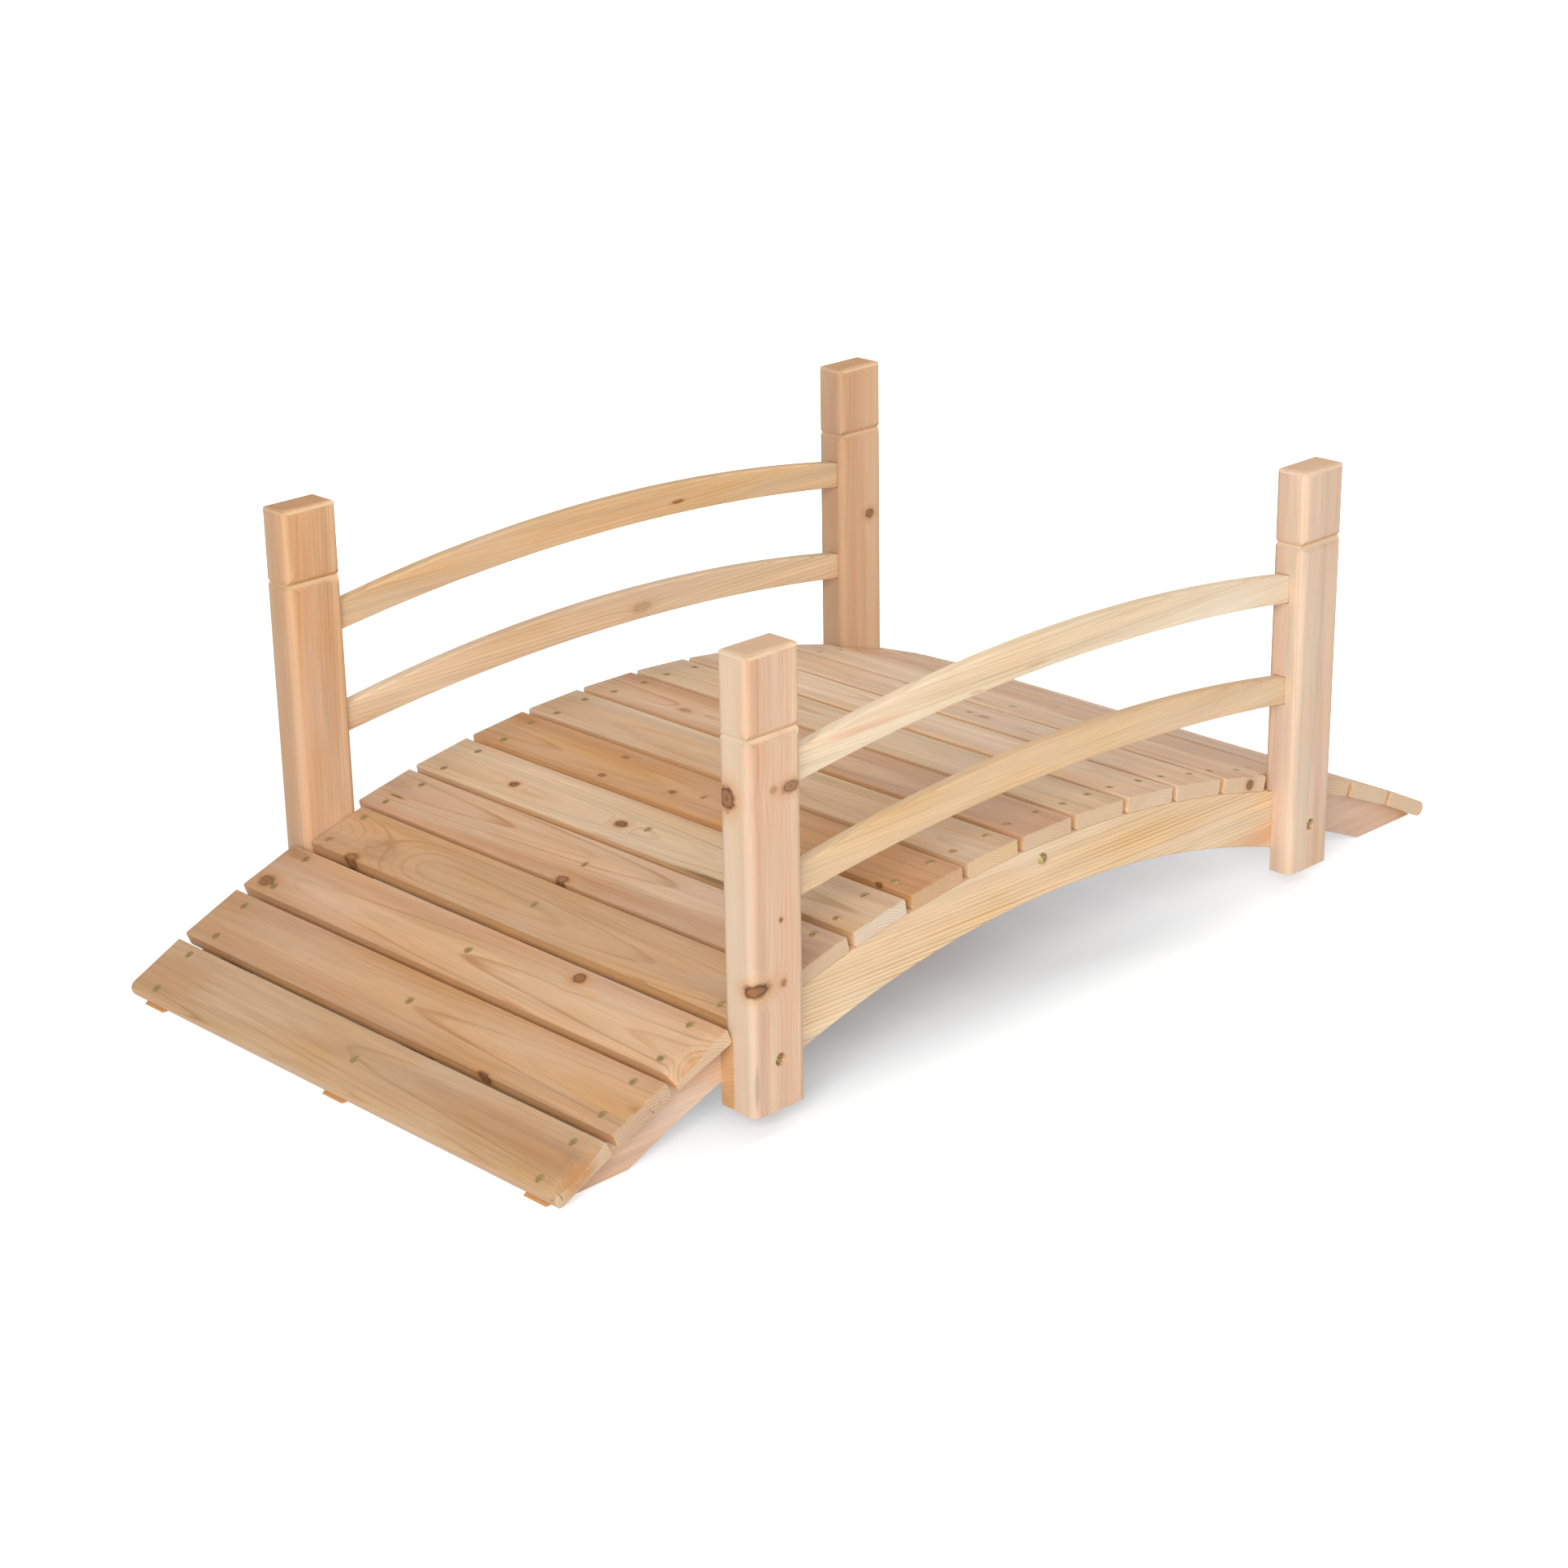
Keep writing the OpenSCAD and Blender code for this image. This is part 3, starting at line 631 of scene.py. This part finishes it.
board_knots = {
    3: ((-19, 284, 16, 7, 9, 40, 0.8), (21, -128, 16, 5.5, 7, 40, 0.9)),
    2: ((-33, -137, 11, 3, 8, 6, 0.9),),
    4: ((-31, 230, 12, 6, 9, 12, 0.85), (-10, 212, 16, 14, 22, 40, 0.2)),
    5: ((-30, 2, 12, 5, 8, 14, 0.85), (-9, 272, 16, 1.5, 9, 40, 0.8)),
    6: ((-8, 182, 16, 4.5, 5.5, 40, 1.0), (-7, 27, 16, 5, 7, 40, 1.0)),
    7: ((-23, 119, 16, 3, 4, 40, 0.85), (18, 130, 16, 3, 5, 40, 0.6), (-10, 32, 16, 3, 4, 40, 0.9),
        (-33.5, -264, 14.5, 2.4, 4, 3, 0.9)),
    9: ((-10, 174, 16, 4, 7, 40, 0.5),),
    12: ((-3, -26, 16, 4, 6, 40, 0.5),),
    13: ((8, -304, 8, 5, 12, 5, 0.9),),
    14: ((24, 132, 16, 4, 6, 40, 0.6),),
}
board_stains_and_painted_light = {
    # Board 1: the last patch, a paler, greyer band along the nose, is partly the wood's tone and partly
    # painted light from the front
    1: ((-3, -302, 8, 27, 13, 13, 0.75, "#bb8249"), (-26, -301, 10, 1.2, 7, 6, 0.8, "#6d5232"),
        (-31, -299, 11, 4, 4, 2, 0.6, "#6d5232"), (-5, 262, 16, 45, 70, 12, 0.5, "#bd8c61"),
        (-34, 0, 5, 5, 400, 9, 0.55, "#cfb097")),
    2: ((10, -304, 3, 1.6, 2, 1.6, 0.9, "#6a3d22"), (20, -304, 5, 1.3, 2, 1.3, 0.7, "#7d5230"),
        (0, -304, 1.5, 1.2, 2, 1.2, 0.7, "#7d5230"), (8, -304, 7, 1.2, 2, 1.2, 0.7, "#7d5230"),
        (-33, 105, 8, 3, 26, 8, 0.5, "#7d4f2a")),
    3: ((25, 285, 16, 10, 25, 8, 0.5, "#9a6a3c"), (8, -152, 16, 5, 14, 8, 0.5, "#dda463")),
    # Board 6: the dark streak along its front edge is painted shade of a broken-away edge
    6: ((-33.5, -130, 14, 3, 70, 5, 0.9, "#4a3018"),),
}
# Each board's front face, seen down the gaps, is painted a paler orange: painted light in the gaps
gap_face_light = ((-33.5, 0, 7, 2.4, 500, 9, 0.8, "#ecba7e"),)
for number in (2, 3, 6):
    board_stains_and_painted_light[number] += gap_face_light
board_wanes = {1: (6.5, -4, 22, 11), 3: (8.0, -30, 40, 14)}
board_maker, board_size = board_tree()
screw_seats = []
for number in range(1, board_count + 1):
    place = board_place(number)
    label = "deck_board_%02d" % number
    spots = [(dx, row) for row in (-screw_row, screw_row) for dx in (-screw_pair, screw_pair)] + [(0, 0)]
    seats = [(x + dice.uniform(-2, 2) * MM, y + dice.uniform(-5, 5) * MM, board_thick / 2)
             for x, y in spots]
    square = place.to_3x3() @ Vector((0, 0, 1))
    screw_seats += [(place @ Vector((x, y, board_thick)), square) for x, y, top in seats]
    angle = (number - crest_board) * step_angle
    lean = (dice.uniform(0.5, 1.3) * dice.choice((-1, 1)), dice.uniform(-0.8, 0.8))
    wane, wane_place, wane_width, wane_reach = board_wanes.get(number, (0.0, 0.0, 30, 13))
    wood = softwood("Planed fir, deck board %d" % number, place.translation, (0, angle, 0), (0, 1, 0),
                    board_fir.get(number, plain_fir), (dice.uniform(-14, 14), dice.uniform(-38, -20)), lean,
                    board_knots.get(number, ()), board_stains_and_painted_light.get(number, gap_face_light), seed=number)
    board = grown_mesh(label + "_planed", seats, board_maker, board_size, {
        "Width": board_width, "Thickness": board_thick,
        "Length": post_length if number in post_boards else full_length,
        "Upper rounding": upper_rounding, "Lower rounding": lower_rounding,
        "Front rounding": step_rounding if number == 1 else 0.0,
        "Rear rounding": step_rounding if number == board_count else 0.0,
        "End easing": end_easing, "Wane": wane * MM, "Wane place": wane_place * MM,
        "Wane width": wane_width * MM, "Wane reach": wane_reach * MM, "Waver": board_waver,
        "Seed": float(number), "Sink radius": sink_radius, "Sink depth": sink_depth, "Wood": wood})
    board.data.transform(place @ Matrix.Translation((0, 0, board_thick / 2)))
    flats = board.modifiers.new("flats", "WEIGHTED_NORMAL")
    flats.weight = 80
    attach(board, "root")
    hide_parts(label)


# Screws and bolts: yellow zinc-plated steel with a cross recess. The screws are flat-headed and
# sit just below the boards; the larger bolts have a low dome.
def fastener_tree():
    """A round head with a cross recess on each point, along its axis and turned at random."""
    numbers = ("Head radius", "Rise", "Recess length", "Recess width", "Recess depth")
    tree, sizes, given = open_tree("Cross-recessed heads", numbers, "Metal", "Heads", seats="Seats")
    ball = add(tree, "GeometryNodeMeshUVSphere", {"Segments": 12, "Rings": 6, "Radius": given["Head radius"]})
    ratio = add(tree, "ShaderNodeMath", {0: given["Rise"], 1: given["Head radius"]}, operation="DIVIDE")
    squash = add(tree, "ShaderNodeCombineXYZ", {"X": 1.0, "Y": 1.0, "Z": ratio})
    dome = add(tree, "GeometryNodeTransform", {"Geometry": ball.outputs["Mesh"], "Scale": squash})
    lift = add(tree, "ShaderNodeCombineXYZ", {"Z": given["Rise"]})
    tall = add(tree, "ShaderNodeMath", {0: given["Recess depth"], 1: 2.0}, operation="MULTIPLY")
    bars = []
    for x, y in (("Recess length", "Recess width"), ("Recess width", "Recess length")):
        size = add(tree, "ShaderNodeCombineXYZ", {"X": given[x], "Y": given[y], "Z": tall})
        block = add(tree, "GeometryNodeMeshCube", {"Size": size})
        bars.append(add(tree, "GeometryNodeTransform", {"Geometry": block.outputs["Mesh"],
                        "Translation": lift}))
    once = add(tree, "GeometryNodeMeshBoolean", {"Mesh 1": dome, "Mesh 2": bars[0]},
               operation="DIFFERENCE")
    head = add(tree, "GeometryNodeMeshBoolean", {"Mesh 1": once, "Mesh 2": bars[1]},
               operation="DIFFERENCE")
    axis = add(tree, "GeometryNodeInputNamedAttribute", {"Name": "axis"}, data_type="FLOAT_VECTOR")
    upright = add(tree, "FunctionNodeAlignRotationToVector", {"Vector": axis}, axis="Z")
    spin = add(tree, "FunctionNodeRandomValue", {2: 0.0, 3: math.pi, "Seed": 3}, data_type="FLOAT")
    about = add(tree, "FunctionNodeAxisAngleToRotation", {"Axis": (0, 0, 1), "Angle": spin.outputs[1]})
    turn = add(tree, "FunctionNodeRotateRotation", {0: upright, 1: about}, rotation_space="LOCAL")
    heads = add(tree, "GeometryNodeInstanceOnPoints", {"Points": given["Seats"], "Instance": head,
                "Rotation": turn})
    close_tree(tree, heads, given["Metal"])
    return tree, sizes


def plated(name, tint, worn, roughness):
    """Plated steel: a warm metal that is duller where the plating is thin, in 2.4 mm patches."""
    material = bpy.data.materials.new(name)
    material.use_nodes = True
    tree = material.node_tree
    tree.nodes.clear()
    where = add(tree, "ShaderNodeTexCoord")
    patches = add(tree, "ShaderNodeTexNoise", {"Vector": where.outputs["Object"], "Scale": 420.0,
                  "Detail": 3.0})
    colour = add(tree, "ShaderNodeMix", {0: patches.outputs["Fac"], 6: linear(tint), 7: linear(worn)},
                 data_type="RGBA")
    rough = add(tree, "ShaderNodeMapRange", {"Value": patches.outputs["Fac"], "To Min": roughness - 0.1,
                "To Max": roughness + 0.15})
    shader = add(tree, "ShaderNodeBsdfPrincipled", {"Base Color": colour.outputs[2], "Metallic": 0.65,
                 "Roughness": rough})
    add(tree, "ShaderNodeOutputMaterial", {"Surface": shader})
    return material


head_maker, head_size = fastener_tree()
screw_steel = plated("Yellow zinc-plated steel, screws", "#dcc28a", "#a08555", 0.45)
sunk_seats = [point - sink_depth * axis for point, axis in screw_seats]
deck_screws = grown_mesh("deck_screws", sunk_seats, head_maker, head_size, {
    "Head radius": 4.1 * MM, "Rise": 0.75 * MM, "Recess length": 4.6 * MM, "Recess width": 1.1 * MM,
    "Recess depth": 0.6 * MM, "Metal": screw_steel}, [axis for point, axis in screw_seats], smooth=False)
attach(deck_screws, "root")

bolt_steel = plated("Yellow zinc-plated steel, bolts", "#d2bd88", "#a08a5c", 0.24)
post_bolt_sink = 4.9 * MM
post_bolt_height = 67 * MM
arch_bolt_along = -7.5 * MM
arch_bolt_height = 136 * MM
bolt_seats = []
bolt_axes = []
for carrier in ("front_left_post", "front_right_post", "rear_left_post", "rear_right_post",
                "left_arch_board", "right_arch_board"):
    low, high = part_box(carrier)
    out = 1 if low[1] > 0 else -1
    face_y = high[1] if out > 0 else low[1]
    if carrier.endswith("post"):
        bolt_seats.append(((low[0] + high[0]) / 2, face_y - out * post_bolt_sink, post_bolt_height))
    else:
        bolt_seats.append((arch_bolt_along, face_y, arch_bolt_height))
    bolt_axes.append((0, out, 0))
bolts = grown_mesh("bolts", bolt_seats, head_maker, head_size, {
    "Head radius": 5.8 * MM, "Rise": 3.6 * MM, "Recess length": 6.4 * MM, "Recess width": 1.5 * MM,
    "Recess depth": 1.8 * MM, "Metal": bolt_steel}, bolt_axes, smooth=False)
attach(bolts, "root")


# Floor, light and camera: a white painted floor whose soft shadow is partly cast and partly painted,
# even studio light from the front, from the right and from above the rear, and the viewpoint of the picture.
def floor_white():
    """Matt white paint that the camera sees as white away from the bridge; near the bridge and under the deck
    the shade is partly painted in.
    """
    material = bpy.data.materials.new("Matt white studio floor")
    material.use_nodes = True
    tree = material.node_tree
    tree.nodes.clear()
    spot = add(tree, "ShaderNodeTexCoord").outputs["Object"]
    at = add(tree, "ShaderNodeSeparateXYZ", {0: spot}).outputs

    # A grit of about 1.1 mm in the paint
    grit = add(tree, "ShaderNodeTexNoise", {"Vector": spot, "Scale": 900.0, "Detail": 1.0})
    tint = add(tree, "ShaderNodeMapRange", {"Value": grit.outputs["Fac"], "To Min": 0.79, "To Max": 0.81})
    matt = add(tree, "ShaderNodeBsdfDiffuse", {"Color": tint})
    path = add(tree, "ShaderNodeLightPath")
    seen = add(tree, "ShaderNodeMath", {0: path.outputs["Is Camera Ray"], 1: path.outputs["Is Glossy Ray"]},
               operation="MAXIMUM")

    # Under the deck, seen through the gaps, the floor is painted dim with a faint warm glow: painted shade
    # and painted light from the wood above it
    painted_under_deck_glow = 0.12
    ramp = add(tree, "ShaderNodeMapRange", {"Value": at["X"], "From Min": -0.52, "From Max": -0.32,
               "To Min": -0.085, "To Max": 0.0})
    arch = add(tree, "ShaderNodeMapRange", {"Value": at["X"], "From Min": -0.32, "From Max": 0.07,
               "To Min": -0.205, "To Max": -0.13})
    near = add(tree, "ShaderNodeMath", {0: ramp, 1: arch}, operation="ADD")
    beyond = add(tree, "ShaderNodeMapRange", {"Value": at["X"], "From Min": -0.62, "From Max": -0.12,
                 "To Min": 0.3, "To Max": 0.5})
    aside = add(tree, "ShaderNodeMath", {0: at["X"]}, operation="ABSOLUTE")
    hidden = 1.0
    for start, end in ((near, at["Y"]), (at["Y"], beyond), (aside, 0.58)):
        depth = add(tree, "ShaderNodeMath", {0: end, 1: start}, operation="SUBTRACT")
        within = add(tree, "ShaderNodeMapRange", {"Value": depth, "From Max": 0.03},
                     interpolation_type="SMOOTHSTEP")
        hidden = add(tree, "ShaderNodeMath", {0: within, 1: hidden}, operation="MULTIPLY").outputs[0]

    # Open floor is lifted to white, and least along the bridge: there the shadow is partly painted, its reach
    # set by place and tinted cool
    off_line = add(tree, "ShaderNodeVectorMath", {0: spot, 1: (0.1, 0.05, 0)}, operation="ADD")
    off_sides = add(tree, "ShaderNodeVectorMath", {0: off_line}, operation="ABSOLUTE")
    off = add(tree, "ShaderNodeSeparateXYZ", {0: off_sides}).outputs
    away = add(tree, "ShaderNodeVectorMath", {0: spot}, operation="LENGTH")
    bright = 0.0
    for reach, start, end, dark, light in ((off["Y"], 0.2, 0.32, 0.22, 0.5),
                                           (off["X"], 0.1, 0.5, 0.22, 0.58),
                                           (aside, 0.55, 0.61, 0.0, 1.0),
                                           (away.outputs["Value"], 0.6, 1.4, 0.0, 1.0)):
        rise = add(tree, "ShaderNodeMapRange", {"Value": reach, "From Min": start, "From Max": end,
                   "To Min": dark, "To Max": light})
        bright = add(tree, "ShaderNodeMath", {0: rise, 1: bright}, operation="MAXIMUM").outputs[0]
    open_floor = add(tree, "ShaderNodeMath", {0: 1.0, 1: hidden}, operation="SUBTRACT")
    clear = add(tree, "ShaderNodeMath", {0: open_floor, 1: bright}, operation="MULTIPLY")
    dim = add(tree, "ShaderNodeMath", {0: hidden, 1: painted_under_deck_glow, 2: clear}, operation="MULTIPLY_ADD")
    lift = add(tree, "ShaderNodeMath", {0: seen, 1: dim}, operation="MULTIPLY")
    neutral = add(tree, "ShaderNodeMapRange", {"Value": bright, "From Min": 0.4, "From Max": 0.75})
    tone = add(tree, "ShaderNodeMix", {0: neutral, 6: (0.84, 0.93, 1.0, 1), 7: (1, 1, 1, 1)},
               data_type="RGBA")
    warm = add(tree, "ShaderNodeMix", {0: hidden, 6: tone.outputs[2], 7: (1.0, 0.72, 0.42, 1)},
               data_type="RGBA")
    glow = add(tree, "ShaderNodeEmission", {"Color": warm.outputs[2], "Strength": lift})
    sum_of = add(tree, "ShaderNodeAddShader", {0: matt, 1: glow})
    add(tree, "ShaderNodeOutputMaterial", {"Surface": sum_of})
    return material


floor_half = 30.0
floor_mesh = bpy.data.meshes.new("floor")
floor_corners = [(floor_half * x, floor_half * y, 0) for x, y in ((-1, -1), (1, -1), (1, 1), (-1, 1))]
floor_mesh.from_pydata(floor_corners, [], [(0, 1, 2, 3)])
floor_mesh.materials.append(floor_white())
floor = bpy.data.objects.new("floor", floor_mesh)
bpy.context.scene.collection.objects.link(floor)

# The room gives a low even light, a little stronger from the front; seen directly it is white
world = bpy.data.worlds.new("studio")
world.use_nodes = True
bpy.context.scene.world = world
sky = world.node_tree
sky.nodes.clear()
toward = add(sky, "ShaderNodeTexCoord").outputs["Generated"]
bright_side = add(sky, "ShaderNodeVectorMath", {0: toward, 1: Vector((-0.76, -0.65, 0.0)).normalized()},
                  operation="DOT_PRODUCT")
level = add(sky, "ShaderNodeMapRange", {"Value": bright_side.outputs["Value"], "From Min": -1.0,
            "From Max": 1.0, "To Min": 0.25, "To Max": 0.31})
sky_path = add(sky, "ShaderNodeLightPath")
sky_seen = add(sky, "ShaderNodeMath", {0: sky_path.outputs["Is Camera Ray"],
               1: sky_path.outputs["Is Transmission Ray"]}, operation="MAXIMUM")
strength = add(sky, "ShaderNodeMix", {0: sky_seen, 2: level, 3: 1.0})
backdrop = add(sky, "ShaderNodeBackground", {"Color": (1, 1, 1, 1), "Strength": strength})
add(sky, "ShaderNodeOutputWorld", {"Surface": backdrop})


def softbox(name, place, aim, size, watts):
    """A square area lamp turned to a point."""
    lamp = bpy.data.lights.new(name, "AREA")
    lamp.size = size
    lamp.energy = watts
    holder = bpy.data.objects.new(name, lamp)
    holder.location = place
    holder.rotation_euler = (Vector(aim) - Vector(place)).to_track_quat("-Z", "Y").to_euler()
    bpy.context.scene.collection.objects.link(holder)


softbox("key", (-2.6, -4.4, 2.7), (0, 0, 0.15), 5.0, 92)
softbox("front", (-4.0, -2.6, 2.3), (0, 0, 0.2), 2.4, 152)
softbox("overhead", (1.4, 0.3, 3.1), (0, 0, 0.1), 2.4, 44)

# The viewpoint, solved from corners of the boards and posts in the picture
photo_width = 1932
focal_pixels = 3988.809
eye = Vector((-2.103078, -2.114257, 1.267634))
yaw = math.radians(45.722)
pitch = math.radians(-20.908)
roll = math.radians(-0.954)
forward = Vector((math.cos(yaw) * math.cos(pitch), math.sin(yaw) * math.cos(pitch), math.sin(pitch)))
level_right = Vector((math.sin(yaw), -math.cos(yaw), 0))
level_up = level_right.cross(forward)
right = math.cos(roll) * level_right + math.sin(roll) * level_up
up = -math.sin(roll) * level_right + math.cos(roll) * level_up
lens = bpy.data.cameras.new("camera")
lens.sensor_width = 36.0
lens.lens = lens.sensor_width * focal_pixels / photo_width
lens.clip_end = 100
camera = bpy.data.objects.new("camera", lens)
camera.matrix_world = Matrix.Translation(eye) @ Matrix((right, up, -forward)).transposed().to_4x4()
bpy.context.scene.collection.objects.link(camera)
bpy.context.scene.camera = camera
bpy.context.scene.view_settings.view_transform = "Standard"
